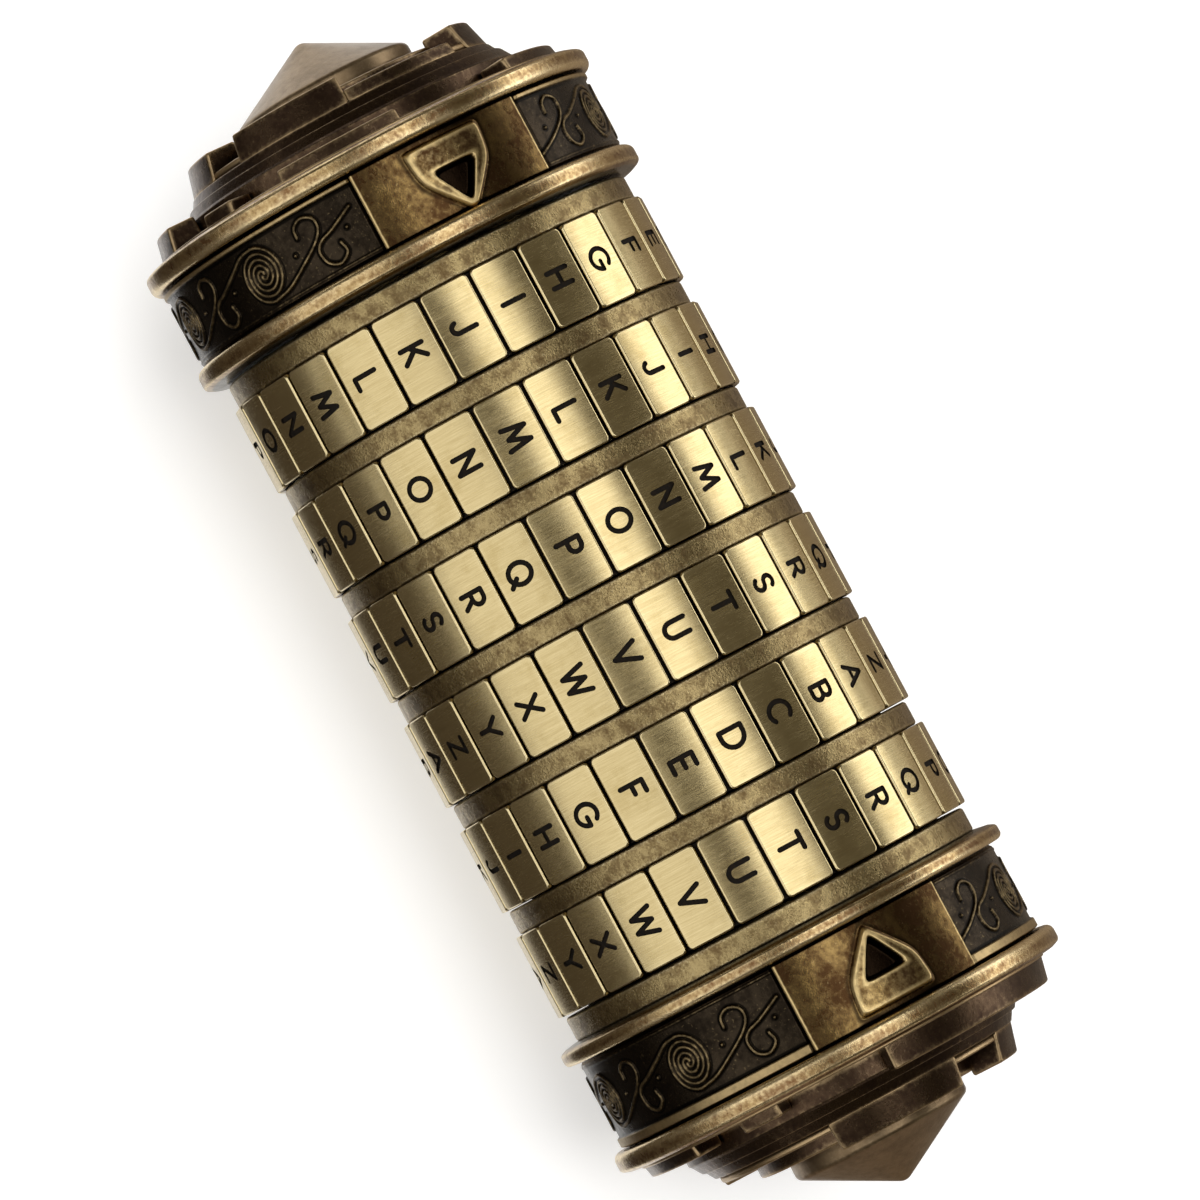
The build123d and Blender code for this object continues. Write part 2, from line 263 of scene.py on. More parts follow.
def arc_block(corners, angle_from, angle_to, rounding=0.3, steps=4):
    """The grid of an outline swept from one angle to another, with rounded ends."""
    outline = rounded_outline(corners)
    if signed_area(outline) > 0:
        outline = outline[::-1]
    middle = (outline.min(0) + outline.max(0)) / 2
    half_size = (outline.max(0) - outline.min(0)) / 2
    radius = middle[1]
    rim = [(rounding * (1 - math.cos(t)), rounding * (1 - math.sin(t)))
           for t in np.linspace(0, math.pi / 2, steps + 1)]
    start, end = math.radians(angle_from), math.radians(angle_to)
    reach = rounding / radius
    between = max(2, int((end - start) / math.radians(2.0)))
    stations = [(start + push / radius, inset) for push, inset in rim]
    stations += [(turn, 0.0) for turn in np.linspace(start + 2 * reach, end - 2 * reach, between)]
    stations += [(end - push / radius, inset) for push, inset in rim[::-1]]
    rows = []
    for turn, inset in stations:
        loop = middle + (outline - middle) * (1 - inset / half_size)
        rows.append(on_cylinder(loop[:, 0], loop[:, 1], turn))
    small = middle + (outline - middle) * (1 - rounding / half_size) * 0.75
    first = on_cylinder(small[:, 0], small[:, 1], start)
    last = on_cylinder(small[:, 0], small[:, 1], end)
    return np.array([first, *rows, last])


# -------- materials

class Nodes:
    """Short calls that add and join a material's nodes."""

    def __init__(self, name):
        self.material = bpy.data.materials.new(name)
        self.material.use_nodes = True
        self.tree = self.material.node_tree
        self.shader = self.tree.nodes["Principled BSDF"]
        self.place = self.tree.nodes.new("ShaderNodeTexCoord").outputs["Object"]

    def join(self, value, socket):
        if isinstance(value, bpy.types.NodeSocket):
            self.tree.links.new(value, socket)
        else:
            socket.default_value = value

    def math(self, operation, a, b):
        node = self.tree.nodes.new("ShaderNodeMath")
        node.operation = operation
        self.join(a, node.inputs[0])
        self.join(b, node.inputs[1])
        return node.outputs[0]

    def weighted(self, a, share_a, b, share_b):
        return self.math("ADD", self.math("MULTIPLY", a, share_a), self.math("MULTIPLY", b, share_b))

    def attribute(self, name):
        node = self.tree.nodes.new("ShaderNodeAttribute")
        node.attribute_name = name
        return node.outputs["Fac"]

    def noise(self, scale, detail, roughness, stretch=None, shift=0.0):
        """Noise by place: scale is in features per metre."""
        place = self.place
        if stretch is not None or shift:
            mapping = self.tree.nodes.new("ShaderNodeMapping")
            mapping.inputs["Location"].default_value = (shift, shift, shift)
            mapping.inputs["Scale"].default_value = stretch or (1, 1, 1)
            self.join(place, mapping.inputs["Vector"])
            place = mapping.outputs["Vector"]
        node = self.tree.nodes.new("ShaderNodeTexNoise")
        self.join(place, node.inputs["Vector"])
        node.inputs["Scale"].default_value = scale
        node.inputs["Detail"].default_value = detail
        node.inputs["Roughness"].default_value = roughness
        return node.outputs["Fac"]

    def window(self, value, low, high, out_low=0.0, out_high=1.0):
        node = self.tree.nodes.new("ShaderNodeMapRange")
        node.interpolation_type = "SMOOTHSTEP"
        self.join(value, node.inputs["Value"])
        limits = {"From Min": low, "From Max": high, "To Min": out_low, "To Max": out_high}
        for socket, number in limits.items():
            node.inputs[socket].default_value = number
        return node.outputs["Result"]

    def mix(self, factor, a, b):
        node = self.tree.nodes.new("ShaderNodeMix")
        node.data_type = "RGBA"
        self.join(factor, node.inputs["Factor"])
        self.join(a if isinstance(a, bpy.types.NodeSocket) else (*a, 1.0), node.inputs["A"])
        self.join(b if isinstance(b, bpy.types.NodeSocket) else (*b, 1.0), node.inputs["B"])
        return node.outputs["Result"]

    def bump(self, height, distance):
        node = self.tree.nodes.new("ShaderNodeBump")
        node.inputs["Strength"].default_value = 1.0
        node.inputs["Distance"].default_value = distance
        self.join(height, node.inputs["Height"])
        return node.outputs["Normal"]

    def finish(self, colour, roughness, normal=None, metallic=1.0):
        self.join(colour, self.shader.inputs["Base Color"])
        self.join(roughness, self.shader.inputs["Roughness"])
        self.join(metallic, self.shader.inputs["Metallic"])
        if normal is not None:
            self.join(normal, self.shader.inputs["Normal"])
        return self.material


def antique_metal(name, dark, middle, bright, grime_and_shade_colour, patina, rough, grain=0.00003, turned=False,
                  wear_gain=1.0, blotch=260.0):
    """Cast and patinated metal: worn bright on edges, dark with grime in corners and with painted shade in
    the gaps a piece's mesh marks, mottled between.
    """
    n = Nodes(name)
    wear, dirt_and_shade = n.attribute("wear"), n.attribute("dirt_and_shade")
    large = n.noise(blotch, 4, 0.6)
    small = n.noise(blotch * 6, 4, 0.65, shift=3.0)
    fine = n.noise(7000, 2, 0.5, shift=7.0)
    mottle = n.weighted(large, 0.6, small, 0.4)
    colour = n.mix(n.window(mottle, patina - 0.14, patina + 0.14), dark, middle)
    rubbed = n.weighted(wear, wear_gain, n.math("SUBTRACT", small, 0.5), 0.6)
    colour = n.mix(n.window(rubbed, 0.15, 0.7), colour, bright)
    speck = n.window(n.noise(2600, 3, 0.7, shift=11.0), 0.6, 0.72)
    colour = n.mix(n.math("MULTIPLY", speck, 0.2), colour, bright)
    # Grime in hollows, and painted shade where a piece's mesh marks a shaded gap, both mixed towards the
    # grime colour.
    caked_and_shaded = n.weighted(dirt_and_shade, 1.0, n.math("SUBTRACT", large, 0.5), 0.5)
    colour = n.mix(n.window(caked_and_shaded, 0.1, 0.6), colour, grime_and_shade_colour)
    polish = n.math("SUBTRACT", mottle, n.math("MULTIPLY", wear, 0.3))
    roughness = n.window(polish, 0.2, 0.65, rough[1], rough[0])
    height = n.weighted(small, 0.8, fine, 0.5)
    if turned:
        rings = n.noise(1.0, 4, 0.7, stretch=(9000, 120, 120))
        colour = n.mix(n.math("MULTIPLY", n.window(rings, 0.5, 0.75), 0.45), colour, dark)
        height = n.weighted(height, 1.0, rings, 0.6)
    return n.finish(colour, roughness, n.bump(height, grain))


def brushed_brass():
    """Bright lettered plates: fine marks round the ring, faint scratches and darker rims."""
    n = Nodes("brushed_brass")
    wear, dirt_and_shade = n.attribute("wear"), n.attribute("dirt_and_shade")
    streak = n.noise(1.0, 4, 0.7, stretch=(9000, 260, 260))
    hair = n.noise(1.0, 3, 0.6, stretch=(24000, 700, 700), shift=2.0)
    cloud = n.noise(230, 4, 0.6, shift=5.0)
    colour = n.mix(n.window(streak, 0.3, 0.75), (0.52, 0.41, 0.2), (0.66, 0.54, 0.29))
    tarnish = n.math("MULTIPLY", n.window(cloud, 0.5, 0.72), 0.4)
    colour = n.mix(tarnish, colour, (0.42, 0.31, 0.12))
    colour = n.mix(n.math("MULTIPLY", wear, 0.6), colour, (0.86, 0.74, 0.45))
    colour = n.mix(n.window(dirt_and_shade, 0.05, 0.9), colour, (0.09, 0.06, 0.03))
    roughness = n.window(n.weighted(hair, 0.6, cloud, 0.4), 0.3, 0.7, 0.17, 0.3)
    return n.finish(colour, roughness, n.bump(n.weighted(streak, 0.5, hair, 1.0), 0.000004))


def dark_paint():
    """The dark filling of the letters and the tarnish at the bottom of the grooves."""
    n = Nodes("letter_black")
    spots = n.noise(3500, 3, 0.6)
    n.shader.inputs["Specular IOR Level"].default_value = 0.12
    colour = n.mix(n.window(spots, 0.4, 0.75), (0.004, 0.003, 0.002), (0.014, 0.009, 0.005))
    return n.finish(colour, n.window(spots, 0.3, 0.7, 0.6, 0.85), n.bump(spots, 0.00002), metallic=0.0)


# The grime colour of each antique metal also paints shade: under the inner bead, and where the plaques and
# panels meet the flanges.
FLANGE_BRASS = antique_metal(
    "flange_brass", (0.19, 0.1, 0.042), (0.39, 0.265, 0.115), (0.86, 0.69, 0.4), (0.014, 0.008, 0.004),
    patina=0.49, rough=(0.17, 0.33), blotch=300.0, wear_gain=1.5)
PLAQUE_BRASS = antique_metal(
    "plaque_brass", (0.06, 0.03, 0.012), (0.25, 0.165, 0.062), (0.66, 0.5, 0.24), (0.012, 0.007, 0.004),
    patina=0.53, rough=(0.2, 0.38), blotch=220.0)
SHOULDER_BRASS = antique_metal(
    "shoulder_brass", (0.14, 0.092, 0.04), (0.36, 0.275, 0.13), (0.76, 0.65, 0.41), (0.03, 0.018, 0.01),
    patina=0.48, rough=(0.22, 0.38), blotch=600.0, grain=0.00006)
BROWN_BRONZE = antique_metal(
    "brown_bronze", (0.04, 0.023, 0.015), (0.088, 0.056, 0.033), (0.43, 0.31, 0.17), (0.008, 0.005, 0.004),
    patina=0.48, rough=(0.24, 0.4), wear_gain=1.5)
CONE_BRONZE = antique_metal(
    "cone_bronze", (0.17, 0.118, 0.066), (0.24, 0.172, 0.1), (0.44, 0.335, 0.2), (0.03, 0.02, 0.012),
    patina=0.48, rough=(0.33, 0.43), blotch=180.0)
PANEL_BRONZE = antique_metal(
    "panel_bronze", (0.013, 0.0095, 0.0065), (0.034, 0.025, 0.016), (0.42, 0.31, 0.155),
    (0.005, 0.004, 0.003), patina=0.5, rough=(0.24, 0.42))
TURNED_BRASS = antique_metal(
    "turned_brass", (0.42, 0.3, 0.13), (0.6, 0.45, 0.21), (0.8, 0.65, 0.36), (0.12, 0.07, 0.03),
    patina=0.42, rough=(0.24, 0.4), turned=True, grain=0.000012)
STEEL = antique_metal(
    "stud_steel", (0.38, 0.38, 0.39), (0.56, 0.56, 0.57), (0.75, 0.75, 0.76), (0.12, 0.12, 0.12),
    patina=0.45, rough=(0.28, 0.42), turned=True, grain=0.00001)
PLATE_BRASS = brushed_brass()
LETTER_BLACK = dark_paint()

CAD_MATERIALS = {
    "turned_brass": TURNED_BRASS, "steel": STEEL, "antique_brass": FLANGE_BRASS,
    "dark_bronze": PANEL_BRONZE, "brown_bronze": BROWN_BRONZE, "smooth_bronze": CONE_BRONZE,
    "brushed_brass": PLATE_BRASS,
}


def dress_cad_nodes():
    """Gives every CAD node the material of its record slot."""
    slots = {part["node"]: part["material_slot"] for part in frame["record"]["subparts"]}
    for node, piece in frame["nodes"].items():
        piece.data.materials.clear()
        piece.data.materials.append(CAD_MATERIALS[slots[node]])


# -------- lettered bands

LETTERS = "ABCDEFGHIJKLMNOPQRSTUVWXYZ"
POINTER_LETTERS = "ILOUDT"
REST_TURNS = (-2.0, -3.3, -4.6, -4.9, -5.1, -5.2)
PLATE_STEP = 2 * math.pi / len(LETTERS)
PLATE_APOTHEM = 25.0
PLATE_CROWN = 0.13
PLATE_GAP = 0.42
PLATE_HALF_WIDTH = PLATE_APOTHEM * math.tan(PLATE_STEP / 2) - PLATE_GAP / 2
PLATE_OVERHANG = 0.1
PLATE_ROUND = 0.22
PLATE_CORNER = 0.45
PLATE_DEPTH = 0.85
RIM_CORNER = PLATE_CORNER - PLATE_ROUND + 0.12
# A loop inside the rim that keeps the long triangles off it
MARGIN = 0.4
MARGIN_CORNER = 0.15
EDGE_STEPS = 4
LETTER_HEIGHT = 2.6
STROKE = 0.57
ENGRAVING = 0.22
# The dark core under the plates
CORE_SEAT_R = 23.2
CORE_R = 24.3
CORE_TURNS = 130
# What a plate's face is: polished brass, a filled letter or a letter's wall
BRASS, INK, WALL = 0, 1, 2


def arc(cx, cy, r, start, end, steps=None, wide=1.0):
    count = steps or max(4, int(abs(end - start) / 15))
    turns = np.radians(np.linspace(start, end, count + 1))
    return [(cx + r * wide * math.cos(t), cy + r * math.sin(t)) for t in turns]


def stem(x):
    return [(x, 0), (x, 1)]


ROUND_WIDTH = 0.9
ROUND_LETTER = [arc(0, .5, .5, 0, 180, wide=ROUND_WIDTH), arc(0, .5, .5, 180, 360, wide=ROUND_WIDTH)]
# Strokes of each letter, with the cap height as one
GLYPHS = {
    "A": [[(-.43, 0), (0, 1)], [(0, 1), (.43, 0)], [(-.28, .34), (.28, .34)]],
    "B": [stem(-.27), [(-.27, 1)] + arc(.06, .76, .24, 90, -90) + [(-.27, .52)],
          [(-.27, .52)] + arc(.09, .26, .26, 90, -90) + [(-.27, 0)]],
    "C": [arc(0, .5, .5, 48, 312, wide=ROUND_WIDTH)],
    "D": [stem(-.35), [(-.35, 1)] + arc(-.06, .5, .5, 90, -90) + [(-.35, 0)]],
    "E": [stem(-.25), [(-.25, 1), (.27, 1)], [(-.25, .52), (.22, .52)], [(-.25, 0), (.27, 0)]],
    "F": [stem(-.23), [(-.23, 1), (.27, 1)], [(-.23, .5), (.2, .5)]],
    "G": [arc(0, .5, .5, 45, 352, wide=ROUND_WIDTH) + [(.45, .47)], [(.1, .47), (.45, .47)]],
    "H": [stem(-.34), stem(.34), [(-.34, .5), (.34, .5)]],
    "I": [[(0, 0), (0, 1)]],
    "J": [[(.18, 1)] + arc(-.05, .23, .23, 0, -170)],
    "K": [stem(-.28), [(.3, 1), (-.28, .38)], [(-.1, .57), (.33, 0)]],
    "L": [[(-.22, 1), (-.22, 0)], [(-.22, 0), (.27, 0)]],
    "M": [[(-.47, 0), (-.32, 1)], [(-.32, 1), (0, .14)], [(0, .14), (.32, 1)], [(.32, 1), (.47, 0)]],
    "N": [stem(-.34), [(-.34, 1), (.34, 0)], stem(.34)],
    "O": ROUND_LETTER,
    "P": [stem(-.25), [(-.25, 1)] + arc(.05, .73, .27, 90, -90) + [(-.25, .46)]],
    "Q": ROUND_LETTER + [[(.14, .28), (.44, -.06)]],
    "R": [stem(-.26), [(-.26, 1)] + arc(.04, .73, .27, 90, -90) + [(-.26, .46)],
          [(.02, .46), (.31, 0)]],
    "S": [arc(0, .755, .245, 30, 270), arc(0, .255, .255, 90, -150)],
    "T": [[(-.36, 1), (.36, 1)], [(0, 1), (0, 0)]],
    "U": [[(-.33, 1)] + arc(0, .33, .33, 180, 360) + [(.33, 1)]],
    "V": [[(-.4, 1), (0, 0)], [(0, 0), (.4, 1)]],
    "W": [[(-.56, 1), (-.3, 0)], [(-.3, 0), (0, .92)], [(0, .92), (.3, 0)], [(.3, 0), (.56, 1)]],
    "X": [[(-.35, 1), (.35, 0)], [(.35, 1), (-.35, 0)]],
    "Y": [[(-.38, 1), (0, .46)], [(.38, 1), (0, .46)], [(0, .46), (0, 0)]],
    "Z": [[(-.33, 1), (.33, 1)], [(.33, 1), (-.33, 0)], [(-.33, 0), (.33, 0)]],
}


def stroke_outline(path, half_width, cap_steps=6):
    """The outline of one stroke with round ends, counter-clockwise."""
    path = np.array(path, float)
    steps = unit(np.diff(path, axis=0))
    normals = np.stack([-steps[:, 1], steps[:, 0]], -1)
    at_points = np.vstack([normals[:1], unit(normals[:-1] + normals[1:]), normals[-1:]])
    left, right = path + at_points * half_width, path - at_points * half_width

    def cap(centre, direction):
        base = math.atan2(direction[1], direction[0])
        turns = base + np.linspace(-math.pi / 2, math.pi / 2, cap_steps + 1)[1:-1]
        return centre + half_width * np.stack([np.cos(turns), np.sin(turns)], -1)
    return np.vstack([right, cap(path[-1], steps[-1]), left[::-1], cap(path[0], -steps[0])])


def distance_to_strokes(points, strokes):
    """How far each point is from the nearest stroke's middle line."""
    nearest = np.full(len(points), np.inf)
    for path in strokes:
        path = np.array(path, float)
        for a, b in zip(path[:-1], path[1:]):
            along = b - a
            share = np.clip(((points - a) @ along) / (along @ along), 0, 1)[:, None]
            nearest = np.minimum(nearest, np.linalg.norm(points - a - share * along, axis=1))
    return nearest


def rounded_rectangle(half_x, half_y, corner, steps=5):
    loop = []
    for cx, cy, start in ((1, 1, 0), (-1, 1, 90), (-1, -1, 180), (1, -1, 270)):
        centre = (cx * (half_x - corner), cy * (half_y - corner))
        loop += arc(*centre, corner, start, start + 90, steps)
    return np.array(loop)


def plate_relief(letter, half_length):
    """One plate, flat: points, triangles, which triangles the letter covers, and the loop of the rim."""
    inner_x, inner_y = half_length - PLATE_ROUND, PLATE_HALF_WIDTH - PLATE_ROUND
    rim = rounded_rectangle(inner_x, inner_y, RIM_CORNER)
    margin = rounded_rectangle(inner_x - MARGIN, inner_y - MARGIN, MARGIN_CORNER)
    strokes = [[(x * LETTER_HEIGHT, (y - 0.5) * LETTER_HEIGHT) for x, y in path] for path in GLYPHS[letter]]
    flat, edges = [], []
    for loop in [rim, margin] + [stroke_outline(path, STROKE / 2) for path in strokes]:
        start = len(flat)
        flat += [Vector(point) for point in loop]
        edges += [(start + i, start + (i + 1) % len(loop)) for i in range(len(loop))]
    points, _, triangles, _, _, _ = delaunay_2d_cdt(flat, edges, [], 0, 1e-5)
    points = np.array([tuple(p) for p in points])
    triangles = np.array(triangles)
    inked = distance_to_strokes(points[triangles].mean(1), strokes) < STROKE / 2
    return points, triangles, inked, rim


def assemble_plate(letter, half_length):
    """One engraved plate: points of (x, y, depth, tilt x, tilt y, wear, dirt), faces and their kinds."""
    flat, triangles, inked, rim = plate_relief(letter, half_length)
    ring = [int(np.argmin(np.linalg.norm(flat - point, axis=1))) for point in rim]
    edge_wear = np.zeros(len(flat))
    edge_wear[ring] = 0.25
    rows = [(x, y, 0.0, 0.0, 0.0, wear, 0.0) for (x, y), wear in zip(flat, edge_wear)]
    faces = [tuple(triangle) for triangle in triangles[~inked]]
    kinds = [BRASS] * len(faces)
    lowered = {}
    for index in np.unique(triangles[inked]):
        lowered[index] = len(rows)
        rows.append((*flat[index], ENGRAVING, 0.0, 0.0, 0.0, 1.0))
    for triangle in triangles[inked]:
        faces.append(tuple(lowered[i] for i in triangle))
        kinds.append(INK)
    ink_edges = {(t[i], t[(i + 1) % 3]) for t in triangles[inked] for i in range(3)}
    for a, b in ink_edges:
        if (b, a) not in ink_edges:
            faces.append((b, a, lowered[a], lowered[b]))
            kinds.append(WALL)
    along = unit(np.roll(rim, -1, 0) - np.roll(rim, 1, 0))
    outward = np.stack([along[:, 1], -along[:, 0]], -1)
    # The rounded edge as (turn, depth, wear, dirt), and then the straight side
    turns = [step / EDGE_STEPS * math.pi / 2 for step in range(1, EDGE_STEPS + 1)]
    levels = [(turn, PLATE_ROUND * (1 - math.cos(turn)), 0.9, 0.0) for turn in turns]
    levels[-1] = (*levels[-1][:2], 0.15, 0.3)
    levels.append((turns[-1], PLATE_DEPTH, 0.0, 1.0))
    for turn, depth, wear, dirt_and_shade in levels:
        lower = range(len(rows), len(rows) + len(rim))
        tilts = outward * math.sin(turn)
        for (x, y), tilt in zip(rim + tilts * PLATE_ROUND, tilts):
            rows.append((x, y, depth, *tilt, wear, dirt_and_shade))
        for i in range(len(rim)):
            j = (i + 1) % len(rim)
            faces.append((ring[i], lower[i], lower[j], ring[j]))
        kinds += [BRASS] * len(rim)
        ring = lower
    return np.array(rows), faces, kinds


def bent_plate(rows, middle, turn):
    """The points and normals of a plate in its place on the ring."""
    across = rows[:, 1]
    height = PLATE_APOTHEM + PLATE_CROWN * (1 - (across / PLATE_HALF_WIDTH) ** 2) - rows[:, 2]
    slope = 2 * PLATE_CROWN * across / PLATE_HALF_WIDTH ** 2
    tilt_x, tilt_y = rows[:, 3], np.clip(rows[:, 4] + slope, -1, 1)
    rise = np.sqrt(np.clip(1 - rows[:, 3] ** 2 - rows[:, 4] ** 2, 0, 1))
    sine, cosine = math.sin(turn), math.cos(turn)
    points = np.stack([middle + rows[:, 0], height * sine + across * cosine,
                       AXIS_HEIGHT + height * cosine - across * sine], -1) * MM
    normals = np.stack([tilt_x, rise * sine + tilt_y * cosine, rise * cosine - tilt_y * sine], -1)
    return points, unit(normals)


def letter_band(number, plates):
    """One ring's band: 26 engraved plates over a dark core."""
    start, end, _ = span(f"letter_band_{number}")
    pointer_letter = LETTERS.index(POINTER_LETTERS[number - 1])
    made, slots, sharp = Build(), [], []
    for place in range(len(LETTERS)):
        rows, faces, kinds = plates[LETTERS[(pointer_letter - place) % len(LETTERS)]]
        turn = math.radians(REST_TURNS[number - 1]) + place * PLATE_STEP
        points, normals = bent_plate(rows, (start + end) / 2, turn)
        made.gather(points, normals, rows[:, 5], rows[:, 6], faces)
        slots += [0 if kind == BRASS else 1 for kind in kinds]
        sharp += [kind == WALL for kind in kinds]
    core = lathed([(start, CORE_SEAT_R, 0), (start, CORE_R, 0), (end, CORE_R, 0), (end, CORE_SEAT_R, 0)],
                  turns=CORE_TURNS)
    made.add(core, wear=np.zeros(core.shape[:2]), dirt_and_shade=np.ones(core.shape[:2]))
    core_faces = len(made.faces) - len(slots)
    slots += [1] * core_faces
    sharp += [False] * core_faces
    made.piece(f"lettered_band_{number}", f"letter_ring_{number}", [PLATE_BRASS, LETTER_BLACK],
               f"letter_band_{number}", slot="brushed_brass", face_slots=slots, sharp_faces=np.array(sharp))


def letter_bands():
    start, end, _ = span("letter_band_1")
    plates = {letter: assemble_plate(letter, (end - start) / 2 + PLATE_OVERHANG) for letter in LETTERS}
    for number in RINGS:
        letter_band(number, plates)


# -------- turned pieces

SHOULDER_R = 24.5
# How far each shoulder starts before its carrier and stops before its band
SHOULDER_START_SHIFT = 0.14
SHOULDER_END_SHIFT = 0.12
CARRIER_BORE_R = 19.0
CARRIER_HUB_R = 21.6
SOCKET_R = 20.8
SOCKET_LENGTH = 4.0
GUIDE_R = 15.5


def shoulders():
    """The mottled shoulder of each ring with its sleeve, and the plain ring after the last one."""
    for number in RINGS:
        start, end, _ = span(f"ring_carrier_{number}")
        band_start, band_end, _ = span(f"letter_band_{number}")
        front, back = start - SHOULDER_START_SHIFT, band_start - SHOULDER_END_SHIFT
        socket_end = start + SOCKET_LENGTH
        corners = [
            (front, SOCKET_R, 0), (front, SHOULDER_R, 0.4), (back, SHOULDER_R, 0.4), (back, CORE_SEAT_R, 0),
            (band_end, CORE_SEAT_R, 0), (band_end, CARRIER_HUB_R, 0), (end, CARRIER_HUB_R, 0),
            (end, CARRIER_BORE_R, 0), (socket_end, CARRIER_BORE_R, 0), (socket_end, SOCKET_R, 0),
        ]
        lathe(f"shoulder_{number}", corners, f"letter_ring_{number}", SHOULDER_BRASS,
              replaces=f"ring_carrier_{number}")
    start, end, _ = span("end_spacer_ring")
    corners = [(start, GUIDE_R, 0), (start, SHOULDER_R, 0.4), (end, SHOULDER_R, 0.3), (end, GUIDE_R, 0)]
    lathe("end_spacer", corners, "outer_case", SHOULDER_BRASS, replaces="end_spacer_ring")


# -------- stepped ends

# Places along an end are counted outwards from the middle of the object
INNER_FLANGE_OUT = {"vault": (41.0, 43.6), "case": (40.2, 42.3)}
INNER_FLANGE_BORE = {"vault": 20.2, "case": GUIDE_R}
FLANGE_BORE_R = 12.0
DRUM_END = 53.0
FLANGE_END = 55.4
LUG_BASE_END = 55.8
LUG_INNER_R = 20.4
LUG_BASE_R = 24.8
LUG_OUTER_R = 24.6
LUG_TOP_R = 23.9
LUG_END = {"low": 57.1, "tall": 58.5}
BOSS_FOOT_R = 20.3
BOSS_FOOT_END = 58.0
BOSS_SLOPE_START = 58.3
BOSS_SLOPE_END = 59.4
BOSS_SLOPE_R = 19.3
BOSS_NECK_R = 18.95
BOSS_TOP_R = 18.3
BOSS_END = 60.5
STUD_R = 2.6
CROWN_INNER_R = 10.7
CROWN_RING_R = 13.8
CROWN_FOOT_R = 18.2
CROWN_TOP_R = 17.3
CROWN_END = {"low": 61.9, "tall": 63.7}
CROWN_STEP_END = 61.3
CROWN_RING_END = 62.9
CONE_FOOT_R = 10.2
CONE_R = 10.5
CONE_STEP = 63.5
CONE_START = 64.85
CONE_TIP_BALL = 1.4
# Where the axis would be, since a point on it can't be turned
NEAR_AXIS_R = 0.02
# Each arc: from angle, to angle, height
LUG_ARCS = {
    "vault": [
        (-125, -85.5, "tall"), (-66.5, -55.5, "low"), (-39.7, -5, "low"),
        (31, 66, "low"), (92, 103, "low"), (124, 160, "tall"), (178, 198, "low"),
    ],
    "case": [
        (-130, -68, "low"), (-51, -39, "low"), (-8, 88, "tall"),
        (108, 128, "low"), (150, 202, "tall"),
    ],
}
CROWN_ARCS = {
    "vault": [
        (-118, -75, "tall"), (-59, -13, "tall"), (-13, 35, "low"),
        (43, 88, "tall"), (104, 150, "low"), (166, 212, "tall"),
    ],
    "case": [
        (-165, -118, "low"), (-34, 18, "tall"), (42, 88, "tall"),
        (112, 160, "tall"),
    ],
}


def outwards(cap, corners):
    """Corners of (out, r, rounding) as corners of (x, r, rounding)."""
    return [(CAPS[cap] * out, r, rounding) for out, r, rounding in corners]


def flanges(cap):
    """The two beaded flanges that close the lettered rings and the drum."""
    low, high = INNER_FLANGE_OUT[cap]
    radius = span(f"{cap}_inner_flange")[2]
    bore = INNER_FLANGE_BORE[cap]
    bead = (high - low) * 0.3
    corners = [
        (low, bore, 0), (low, SHOULDER_R + 0.2, 0.1), (low + 0.25, radius - 0.8, 0.3),
        (low + 0.6, radius, 0.5), (high, radius, bead), (high, bore, 0),
    ]
    grid = lathed(outwards(cap, corners))
    inside = np.abs(grid[..., 0]) / MM
    # Painted shade: the bead's inner side, next to the shoulder, is darkened as if by the shadow in the gap
    # under it.
    made = Build().add(grid, dirt_and_shade=ramp(inside, low + 0.35, low + 0.1))
    made.piece(f"{cap}_inner_bead", CAP_BODY[cap], [FLANGE_BRASS], replaces=f"{cap}_inner_flange")
    radius = span(f"{cap}_outer_flange")[2]
    corners = [
        (DRUM_END, FLANGE_BORE_R, 0), (DRUM_END, radius, 0.85), (FLANGE_END - 0.35, radius, 0.55),
        (FLANGE_END, radius - 0.9, 0.35), (FLANGE_END, FLANGE_BORE_R, 0),
    ]
    lathe(f"{cap}_outer_bead", outwards(cap, corners), CAP_BODY[cap], FLANGE_BRASS,
          replaces=f"{cap}_outer_flange")


def block_corners(r_in, r_foot, r_top, start, end):
    return [(start, r_in, 0.1), (start, r_foot, 0.1), (end, r_top, 0.28), (end, r_in, 0.28)]


def lugs(cap):
    """The ledge on the outer flange with its low and tall blocks."""
    made = Build()
    base = [(FLANGE_END - 0.2, LUG_INNER_R, 0), (FLANGE_END - 0.2, LUG_BASE_R, 0),
            (LUG_BASE_END, LUG_BASE_R, 0.2), (LUG_BASE_END, LUG_INNER_R, 0)]
    made.add(lathed(outwards(cap, base)))
    for angle_from, angle_to, height in LUG_ARCS[cap]:
        end = LUG_END[height]
        lean = (LUG_OUTER_R - LUG_TOP_R) * (end - FLANGE_END) / (LUG_END["tall"] - FLANGE_END)
        corners = block_corners(LUG_INNER_R + 0.1, LUG_OUTER_R, LUG_OUTER_R - lean, FLANGE_END - 0.1, end)
        made.add(arc_block(outwards(cap, corners), angle_from, angle_to), close_rows=False)
    made.piece(f"{cap}_lugs", CAP_BODY[cap], [BROWN_BRONZE], slot="brown_bronze",
               replaces=f"{cap}_lug_ring")


